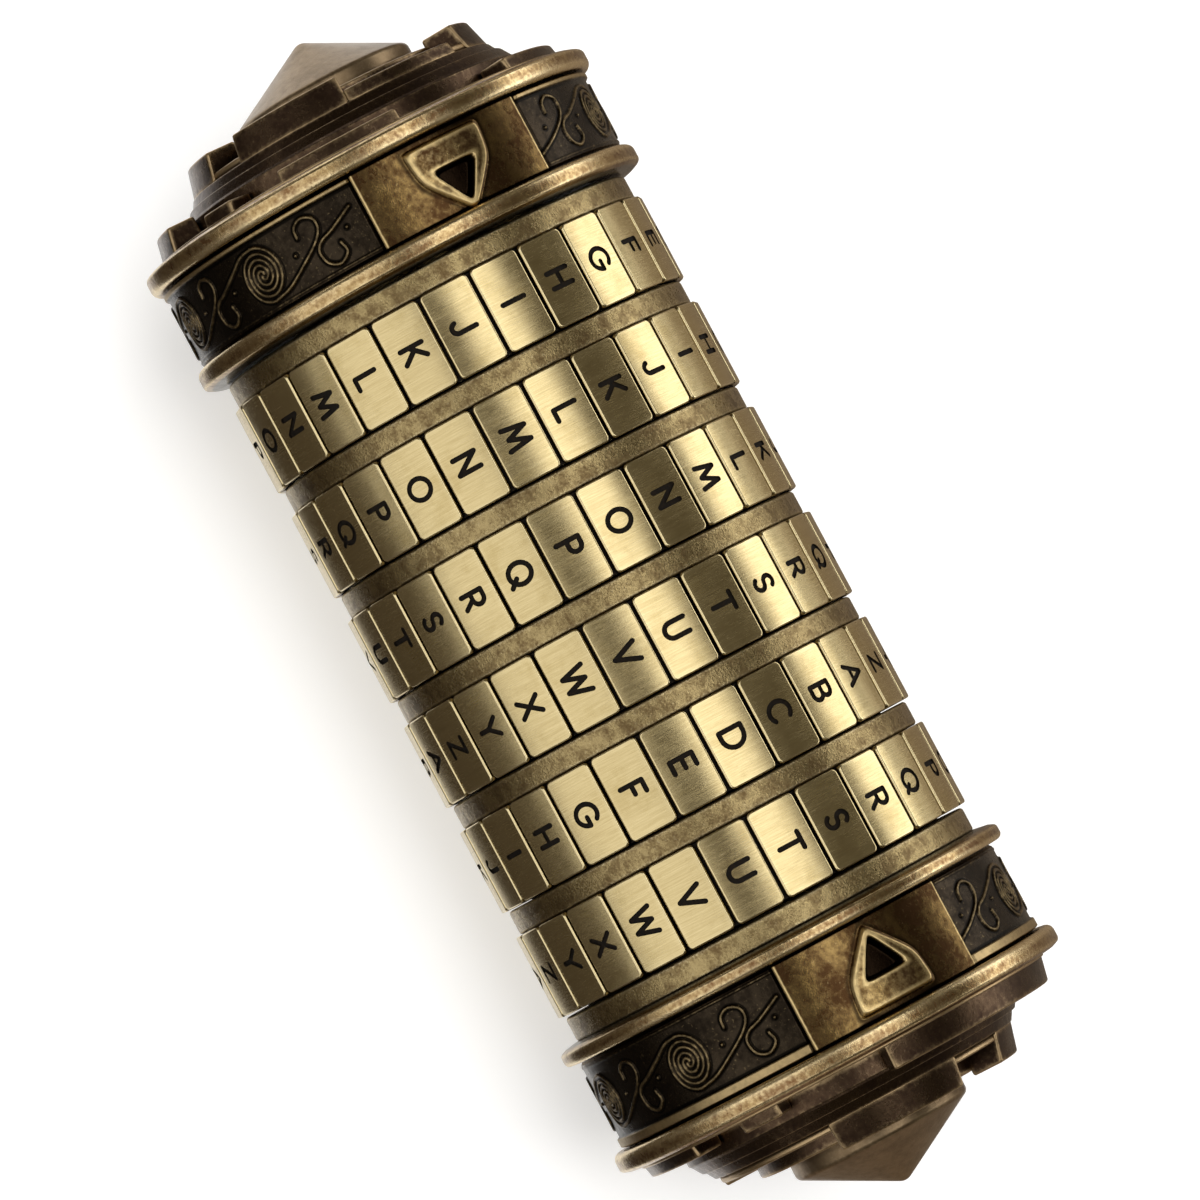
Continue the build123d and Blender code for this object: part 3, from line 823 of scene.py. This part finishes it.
def boss(cap):
    """The stepped cone between the lugs and the crown."""
    spigot_start, spigot_end, spigot_r = DRUM_END + 0.3, FLANGE_END - 0.2, FLANGE_BORE_R - 0.1
    corners = [
        (spigot_start, STUD_R, 0), (spigot_start, spigot_r, 0), (spigot_end, spigot_r, 0),
        (spigot_end, BOSS_FOOT_R, 0), (BOSS_FOOT_END, BOSS_FOOT_R, 0.25),
        (BOSS_SLOPE_START, BOSS_FOOT_R - 0.3, 0.15), (BOSS_SLOPE_END, BOSS_SLOPE_R, 0.2),
        (BOSS_SLOPE_END, BOSS_NECK_R, 0.1), (BOSS_END, BOSS_TOP_R, 0.3), (BOSS_END, STUD_R, 0),
    ]
    lathe(f"{cap}_boss", outwards(cap, corners), CAP_BODY[cap], BROWN_BRONZE,
          slot="brown_bronze", replaces=f"{cap}_stepped_boss")


def crown(cap):
    """The ring round the finial with its sloping blocks."""
    made = Build()
    foot_r, start = CROWN_FOOT_R - 0.4, BOSS_END - 0.1
    foot = [
        (start, CROWN_INNER_R, 0), (start, foot_r, 0), (CROWN_STEP_END, foot_r, 0.25),
        (CROWN_STEP_END, CROWN_RING_R, 0.1), (CROWN_RING_END, CROWN_RING_R, 0.3),
        (CROWN_RING_END, CROWN_INNER_R, 0.25),
    ]
    made.add(lathed(outwards(cap, foot)))
    for angle_from, angle_to, height in CROWN_ARCS[cap]:
        end = CROWN_END[height]
        lean = (CROWN_FOOT_R - CROWN_TOP_R) * (end - BOSS_END) / (CROWN_END["tall"] - BOSS_END)
        top_r = CROWN_FOOT_R - lean
        corners = block_corners(CROWN_RING_R - 0.4, CROWN_FOOT_R, top_r, BOSS_END - 0.05, end)
        made.add(arc_block(outwards(cap, corners), angle_from, angle_to), close_rows=False)
    made.piece(f"{cap}_crown", CAP_BODY[cap], [BROWN_BRONZE], slot="brown_bronze",
               replaces=f"{cap}_crown_ring")


def cone(cap):
    """The pointed finial, with its tip rounded by a small ball."""
    low, high, _ = span(f"{cap}_finial")
    tip = max(abs(low), abs(high))
    slope = math.atan2(tip - CONE_START - 0.05, CONE_R)
    centre = tip - CONE_TIP_BALL
    start = BOSS_END + 0.05
    corners = [(start, NEAR_AXIS_R, 0), (start, CONE_FOOT_R, 0.1), (CONE_STEP, CONE_R, 0.2),
               (CONE_START, CONE_R, 0.75)]
    for turn in (slope, slope * 0.66, slope * 0.33):
        corners.append((centre + CONE_TIP_BALL * math.cos(turn), CONE_TIP_BALL * math.sin(turn), 0))
    corners.append((tip, NEAR_AXIS_R, 0))
    lathe(f"{cap}_cone", outwards(cap, corners), CAP_BODY[cap], CONE_BRONZE, closed=False,
          slot="smooth_bronze", replaces=f"{cap}_finial")


# -------- relief of panels and plaques

PLAQUE_COUNT = 2
PANEL_HALF_DEG = (360 / PLAQUE_COUNT - PLAQUE_DEG) / 2 - 0.25
RELIEF_STEP = 0.095
RELIEF_FOOT_R = 24.55
RELIEF_EDGE = 0.3
RELIEF_EDGE_DROP = 0.22


def ramp(value, low, high):
    share = np.clip((value - low) / (high - low), 0, 1)
    return share * share * (3 - 2 * share)


def relief_plate(name, cap, middle_deg, half_deg, radius, heights, material, edge_wear=0.0, **more):
    """A curved plate over the drum. heights(out, e) gives height, wear and darkening (grime, with painted
    shade where the plate meets the flanges), with e along the arc.
    """
    start = INNER_FLANGE_OUT[cap][1]
    half = math.radians(half_deg) * radius
    out = np.linspace(start, DRUM_END, int((DRUM_END - start) / RELIEF_STEP))
    across = np.linspace(-half, half, int(2 * half / RELIEF_STEP))
    grid_out, grid_e = np.meshgrid(out, across, indexing="ij")
    height, wear, dirt_and_shade = heights(grid_out, grid_e)
    near_side = half - np.abs(grid_e)
    height = height - RELIEF_EDGE_DROP * (1 - ramp(near_side, 0.0, RELIEF_EDGE))
    worn = edge_wear * ramp(near_side, 2 * RELIEF_EDGE, 0.25) * ramp(near_side, 0.0, RELIEF_EDGE / 2)
    wear = np.clip(wear + worn, 0, 1)
    r = radius + height
    skirt = np.pad(r, 1, constant_values=RELIEF_FOOT_R)
    out = np.pad(grid_out, 1, mode="edge")
    e = np.pad(grid_e, 1, mode="edge")
    wear, dirt_and_shade = np.pad(wear, 1), np.pad(dirt_and_shade, 1, constant_values=0.6)
    turn = math.radians(middle_deg) + e / radius
    points = on_cylinder(CAPS[cap] * out, skirt, turn)
    if CAPS[cap] > 0:
        points, wear, dirt_and_shade = points[::-1], wear[::-1], dirt_and_shade[::-1]
    made = Build().add(points, close_rows=False, close_columns=False, wear=wear, dirt_and_shade=dirt_and_shade)
    made.piece(name, CAP_BODY[cap], [material], **more)


# How sharp the corners of the pointer and its window are, per millimetre
CORNER_SHARPNESS = 3.2


def polygon_distance(out, e, corners):
    """Signed distance to a convex polygon of (out, e) with softened corners, negative inside."""
    corners = np.array(corners, float)
    centre = corners.mean(0)
    nearest = np.full(out.shape, -np.inf)
    for a, b in zip(corners, np.roll(corners, -1, 0)):
        normal = unit(np.array([(b - a)[1], -(b - a)[0]]))
        if normal @ (centre - a) > 0:
            normal = -normal
        side = (out - a[0]) * normal[0] + (e - a[1]) * normal[1]
        nearest = np.logaddexp(nearest, CORNER_SHARPNESS * side)
    return nearest / CORNER_SHARPNESS


POINTER_END = 52.1
POINTER_LENGTH = 9.1
POINTER_WAIST = 4.1
POINTER_HALF_WIDTH = 4.75
POINTER_WAIST_HALF_WIDTH = 4.3
POINTER_RISE = 0.65
WINDOW_START = 3.3
WINDOW_LENGTH = 4.5
WINDOW_HALF_WIDTH = 2.6
WINDOW_DEPTH = 0.8


def plaque_heights(out, e):
    """The raised pointer with its three-cornered window."""
    waist, tip = POINTER_END - POINTER_WAIST, POINTER_END - POINTER_LENGTH
    shield = polygon_distance(out, e, [
        (POINTER_END, -POINTER_HALF_WIDTH), (POINTER_END, POINTER_HALF_WIDTH),
        (waist, POINTER_WAIST_HALF_WIDTH), (tip, 0), (waist, -POINTER_WAIST_HALF_WIDTH)])
    hole_end = POINTER_END - WINDOW_START
    hole = polygon_distance(out, e, [
        (hole_end, -WINDOW_HALF_WIDTH), (hole_end, WINDOW_HALF_WIDTH),
        (hole_end - WINDOW_LENGTH, 0)])
    raised = 1 - ramp(shield, -0.42, 0.12)
    sunk = 1 - ramp(hole, -0.3, 0.15)
    sag = 0.05 * ramp(-shield, 0.3, 1.2) * ramp(hole, 0.2, 1.0)
    height = POINTER_RISE * raised - (POINTER_RISE + WINDOW_DEPTH) * sunk - sag
    outer_rim = ramp(-shield, 0.0, 0.15) * ramp(shield, -1.0, -0.25)
    inner_rim = ramp(hole, 0.0, 0.15) * ramp(hole, 0.6, 0.15)
    wear = 0.4 * np.clip(outer_rim + inner_rim, 0, 1) + 0.24 * raised
    dirt_and_shade = 0.45 * ramp(shield, 0.05, 0.2) * ramp(shield, 0.9, 0.2) + 1.2 * sunk
    # Painted shade: darker towards both ends, where the plaque meets the flanges.
    ends = np.minimum(out - out.min(), out.max() - out)
    dirt_and_shade = dirt_and_shade + 0.8 * ramp(ends, 0.6, 0.1) * (1 - raised)
    height = height - 0.35 * ramp(ends, 0.35, 0.1)
    return height, wear * (1 - sunk), np.clip(dirt_and_shade, 0, 1)


def spline(points, steps=8):
    """A smooth path through points."""
    points = np.array(points, float)
    padded = np.vstack([2 * points[0] - points[1], points, 2 * points[-1] - points[-2]])
    path = []
    for a, b, c, d in zip(padded[:-3], padded[1:-2], padded[2:-1], padded[3:]):
        for t in np.arange(steps) / steps:
            path.append(b + 0.5 * t * (c - a + t * (2 * a - 5 * b + 4 * c - d + t * (3 * (b - c) + d - a))))
    return np.array([*path, points[-1]])


SCROLL_MIDDLE_OUT = {"vault": 48.1, "case": 47.45}
SCROLL_RAIL = {"vault": (52.0, 52.75), "case": (51.5, 52.8)}
HOOK_SPACING = 8.05
SPIRALS = (-1, 0, 1)
SPIRAL_HALF_WIDTH = 2.75
SPIRAL_HALF_HEIGHT = 3.1
SPIRAL_TURNS = 2.2
SCROLL_HALF_WIDTH = 0.22
SCROLL_RISE = 0.26
# One pair of hooks, as points of (e, g): along the arc, and towards the vault's end
UPPER_HOOK = [(-2.3, 1.5), (-2.1, 2.6), (-1.0, 3.2), (0.2, 2.7), (0.4, 1.5), (-0.6, 0.2), (-3.0, -1.3)]
LOWER_HOOK = [(1.9, -1.1), (2.1, -2.3), (0.9, -3.1), (-0.4, -2.4), (-0.7, -0.9), (0.1, 0.0), (1.7, 0.55),
              (4.4, 1.85)]
# Where the outermost line ends, and where the other lines pass on their way to a spiral
UPPER_END = (-5.6, -2.5)
UPPER_LEAD = (-5.7, -2.65)
LOWER_LEAD = (6.3, 2.85)
HOOK_DOTS = (-3.4, 3.2)


def scroll_paths():
    """The raised lines of one panel, as paths of (e, g) from its middle: spirals and pairs of hooks."""
    paths = []
    for spiral in SPIRALS:
        for start in (90, 270):
            turns = np.linspace(0, SPIRAL_TURNS, 80)
            shrink = 1 - 0.93 * turns / SPIRAL_TURNS
            angle = np.radians(start) - 2 * math.pi * turns
            e, g = SPIRAL_HALF_WIDTH * shrink * np.cos(angle), SPIRAL_HALF_HEIGHT * shrink * np.sin(angle)
            paths.append(np.stack([e, g], -1) + [spiral * 2 * HOOK_SPACING, 0])
    for pair in np.arange(min(SPIRALS) - 0.5, max(SPIRALS) + 1):
        shift = np.array([pair * 2 * HOOK_SPACING, 0])
        first, last = pair < min(SPIRALS), pair > max(SPIRALS)
        upper = UPPER_HOOK + ([UPPER_END] if first else [UPPER_LEAD, (-HOOK_SPACING, -SPIRAL_HALF_HEIGHT)])
        lower = LOWER_HOOK + ([] if last else [LOWER_LEAD, (HOOK_SPACING, SPIRAL_HALF_HEIGHT)])
        paths += [spline(upper) + shift, spline(lower) + shift]
        paths += [np.array([(dot, 0.0), (dot + 0.02, 0.0)]) + shift for dot in HOOK_DOTS]
    return paths


def near_paths(x, y, paths, reach):
    """Distance to the nearest path, up to reach, over a grid."""
    nearest = np.full(x.shape, reach)
    for path in paths:
        for a, b in zip(path[:-1], path[1:]):
            low, high = np.minimum(a, b) - reach, np.maximum(a, b) + reach
            close = (x > low[0]) & (x < high[0]) & (y > low[1]) & (y < high[1])
            if not close.any():
                continue
            along = b - a
            px, py = x[close] - a[0], y[close] - a[1]
            share = np.clip((px * along[0] + py * along[1]) / (along @ along), 0, 1)
            gap = np.hypot(px - share * along[0], py - share * along[1])
            nearest[close] = np.minimum(nearest[close], gap)
    return nearest


def scroll_heights(cap, out, e):
    """The relief of one panel: scrolls, a fine border line and the bright rail by the outer flange."""
    rail_start, rail_end = SCROLL_RAIL[cap]
    g = -CAPS[cap] * (out - SCROLL_MIDDLE_OUT[cap])
    gap = near_paths(e, g, scroll_paths(), 0.8)
    line = np.sqrt(np.clip(1 - (gap / SCROLL_HALF_WIDTH) ** 2, 0, 1))
    line = 0.6 * line + 0.4 * (1 - ramp(gap, 0.1, SCROLL_HALF_WIDTH + 0.08))
    low = out.min()
    border = 1 - ramp(np.abs(out - low - 0.75), 0.05, 0.2)
    rail = ramp(out, rail_start - 0.02, rail_start + 0.22) * ramp(out, rail_end + 0.02, rail_end - 0.2)
    groove = ramp(out, rail_end - 0.05, rail_end + 0.1)
    foot = ramp(out, low + 0.45, low + 0.15)
    height = SCROLL_RISE * line + 0.1 * border + 0.35 * rail - 0.45 * groove - 0.25 * foot
    wear = 0.36 * ramp(line, 0.3, 0.8) + 0.25 * border + 0.6 * rail
    beside = ramp(gap, SCROLL_HALF_WIDTH, SCROLL_HALF_WIDTH + 0.1) * ramp(gap, 0.6, 0.3)
    # Grime beside the raised lines; painted shade at the foot and in the groove, where the panel meets the
    # flanges.
    dirt_and_shade = 0.7 * beside + groove + foot
    dirt_and_shade = dirt_and_shade + 0.8 * ramp(rail_start - out, 0.5, 0.05) * (out < rail_start)
    return height, np.clip(wear, 0, 1), np.clip(dirt_and_shade * (1 - rail), 0, 1)


def drum_cover(cap):
    step = 360 / PLAQUE_COUNT
    for number in range(1, PLAQUE_COUNT + 1):
        relief_plate(f"{cap}_plaque_{number}", cap, (number - 1) * step, PLAQUE_DEG / 2, PLAQUE_R,
                     plaque_heights, PLAQUE_BRASS, edge_wear=0.7,
                     replaces=f"{cap}_pointer_plaque_{number}")
        relief_plate(f"{cap}_scrolls_{number}", cap, (number - 0.5) * step, PANEL_HALF_DEG, PANEL_R[cap],
                     lambda out, e: scroll_heights(cap, out, e), PANEL_BRONZE, slot="dark_bronze",
                     replaces=f"{cap}_scroll_panel_{number}")


# -------- stage, light and camera

# Lengths here are metres
FLOOR_HALF = 3.0
CARD_HEIGHT = 0.0004
# Each light: angle, distance, width, length, power
LIGHTS = {
    "key_left": (-57, 0.7, 0.72, 0.9, 2.3),
    "strip_top": (1, 0.7, 0.34, 0.9, 1.8),
    "strip_right": (72, 0.7, 0.3, 0.9, 2.0),
    "floor_fill": (0, 1.5, 3.0, 3.0, 30),
}
# Each card: x range, y range, brightness
CARDS = {
    "card_left": ((-0.4, 0.4), (-0.5, -0.032), 0.06),
    "card_right": ((-0.4, 0.4), (0.032, 0.5), 0.22),
    "card_case_end": ((0.073, 0.4), (-0.032, 0.032), 0.3),
}
WORLD_COLOUR = (1, 0.86, 0.62, 1)
WORLD_STRENGTH = 0.1


def flat_sheet(name, x_range, y_range, height, material):
    """A level rectangle that isn't part of the object."""
    mesh = bpy.data.meshes.new(name)
    (left, right), (front, back) = x_range, y_range
    corners = [(left, front, height), (right, front, height), (right, back, height), (left, back, height)]
    mesh.from_pydata(corners, [], [(0, 1, 2, 3)])
    mesh.materials.append(material)
    sheet = bpy.data.objects.new(name, mesh)
    bpy.context.scene.collection.objects.link(sheet)
    return sheet


def stage():
    """A pale floor under the flanges, and dark cards on it that only polished surfaces see."""
    n = Nodes("floor_white")
    n.finish((0.9, 0.9, 0.9, 1.0), 0.7, metallic=0.0)
    n.shader.inputs["Emission Color"].default_value = (1, 1, 1, 1)
    n.shader.inputs["Emission Strength"].default_value = 0.3
    flat_sheet("floor", (-FLOOR_HALF, FLOOR_HALF), (-FLOOR_HALF, FLOOR_HALF), 0, n.material)
    for name, (x_range, y_range, brightness) in CARDS.items():
        n = Nodes(name)
        n.finish((brightness, brightness * 0.8, brightness * 0.6, 1.0), 0.9, metallic=0.0)
        card = flat_sheet(name, x_range, y_range, CARD_HEIGHT, n.material)
        card.visible_camera = False
        card.visible_diffuse = False
        card.visible_shadow = False


def softbox(name, angle, distance, width, length, power):
    """An area light that faces the axis, at an angle from straight up, positive towards +Y."""
    light = bpy.data.lights.new(name, "AREA")
    light.shape = "RECTANGLE"
    light.size = length
    light.size_y = width
    light.energy = power
    lamp = bpy.data.objects.new(name, light)
    turn = math.radians(angle)
    back = Vector((0, math.sin(turn), math.cos(turn)))
    right = Vector((1, 0, 0))
    place = Vector((0, 0, AXIS_HEIGHT * MM)) + back * distance
    lamp.matrix_world = facing(place, right, back.cross(right), back)
    lamp.visible_camera = False
    bpy.context.scene.collection.objects.link(lamp)


def facing(place, right, up, back):
    """The matrix of a light or camera at a place, from the ways it points."""
    return Matrix.Translation(place) @ Matrix((right, up, back)).transposed().to_4x4()


def lights():
    world = bpy.data.worlds.new("studio")
    world.use_nodes = True
    background = world.node_tree.nodes["Background"]
    background.inputs["Color"].default_value = WORLD_COLOUR
    background.inputs["Strength"].default_value = WORLD_STRENGTH
    bpy.context.scene.world = world
    for name, settings in LIGHTS.items():
        softbox(name, *settings)
    bpy.data.objects["floor_fill"].visible_glossy = False


CAMERA_DISTANCE = 0.930
CAMERA_TURN = -18.9
CAMERA_ALONG = 0.0275
CAMERA_LEAN = 1.763
CAMERA_SIDE = 0.00038
CAMERA_ROLL = 28.15
CAMERA_LENS = 255.5


def camera():
    """Looks down at the lettered side, with the case cap to the lower right."""
    turn = math.radians(CAMERA_TURN)
    outward = Vector((0, math.sin(turn), math.cos(turn)))
    place = Vector((CAMERA_ALONG, 0, AXIS_HEIGHT * MM)) + outward * CAMERA_DISTANCE
    lean = math.radians(CAMERA_LEAN)
    back = outward * math.cos(lean) + Vector((1, 0, 0)) * math.sin(lean)
    up = outward * math.sin(lean) - Vector((1, 0, 0)) * math.cos(lean)
    right = up.cross(back)
    place += right * CAMERA_SIDE
    roll = math.radians(CAMERA_ROLL)
    rolled_right = right * math.cos(roll) - up * math.sin(roll)
    rolled_up = right * math.sin(roll) + up * math.cos(roll)
    data = bpy.data.cameras.new("camera")
    data.sensor_width = 36
    data.lens = CAMERA_LENS
    data.clip_start = 0.01
    eye = bpy.data.objects.new("camera", data)
    eye.matrix_world = facing(place, rolled_right, rolled_up, back)
    bpy.context.scene.collection.objects.link(eye)
    bpy.context.scene.camera = eye


camera()
lights()
stage()
dress_cad_nodes()
letter_bands()
shoulders()
for cap in CAPS:
    for build in (flanges, lugs, boss, crown, cone, drum_cover):
        build(cap)
bpy.context.scene.view_settings.view_transform = "Standard"
